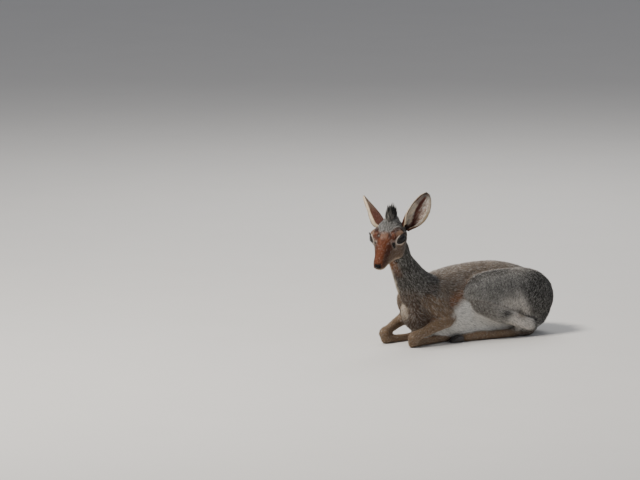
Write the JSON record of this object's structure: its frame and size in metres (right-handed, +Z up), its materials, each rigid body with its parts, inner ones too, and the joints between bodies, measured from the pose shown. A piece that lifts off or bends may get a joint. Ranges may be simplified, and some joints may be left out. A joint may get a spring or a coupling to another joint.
{
  "type": "dik-dik model",
  "caption": "Life-size model of a hornless dik-dik lying with folded legs, raised crest and head turned to its left; rests on its belly and folded legs.",
  "frame": {"origin": "on the floor, at the middle of the flat that the belly lies on", "axes": "+Z up; the trunk points along -X from rump to breast; the animal's left side faces -Y"},
  "size_m": [0.4095, 0.1696, 0.2666],
  "materials": {
    "torso": "short hair",
    "neck": "short hair",
    "head": "short hair",
    "nose": "damp",
    "ear_left": "fine hair",
    "ear_right": "fine hair",
    "eye_left": "wet gloss",
    "eye_right": "wet gloss",
    "tail": "short hair",
    "thigh_left": "short hair",
    "thigh_right": "short hair",
    "shank_left": "short hair",
    "shank_right": "short hair",
    "hind_cannon_left": "short hair",
    "hind_cannon_right": "short hair",
    "forearm_left": "short hair",
    "forearm_right": "short hair",
    "fore_cannon_left": "short hair",
    "fore_cannon_right": "short hair",
    "fore_hoof_inner_left": "dark horn",
    "fore_hoof_inner_right": "dark horn",
    "fore_hoof_outer_left": "dark horn",
    "fore_hoof_outer_right": "dark horn",
    "hind_hoof_inner_left": "dark horn",
    "hind_hoof_inner_right": "dark horn",
    "hind_hoof_outer_left": "dark horn",
    "hind_hoof_outer_right": "dark horn"
  },
  "bodies": {
    "root": {"torso": "torso", "neck": "neck", "head": "head", "nose": "nose", "ear_left": "ear_left", "ear_right": "ear_right", "eye_left": "eye_left", "eye_right": "eye_right", "tail": "tail", "thigh_left": "thigh_left", "thigh_right": "thigh_right", "shank_left": "shank_left", "shank_right": "shank_right", "hind_cannon_left": "hind_cannon_left", "hind_cannon_right": "hind_cannon_right", "forearm_left": "forearm_left", "forearm_right": "forearm_right", "fore_cannon_left": "fore_cannon_left", "fore_cannon_right": "fore_cannon_right", "fore_hoof_inner_left": "fore_hoof_inner_left", "fore_hoof_inner_right": "fore_hoof_inner_right", "fore_hoof_outer_left": "fore_hoof_outer_left", "fore_hoof_outer_right": "fore_hoof_outer_right", "hind_hoof_inner_left": "hind_hoof_inner_left", "hind_hoof_inner_right": "hind_hoof_inner_right", "hind_hoof_outer_left": "hind_hoof_outer_left", "hind_hoof_outer_right": "hind_hoof_outer_right"}
  },
  "joints": []
}
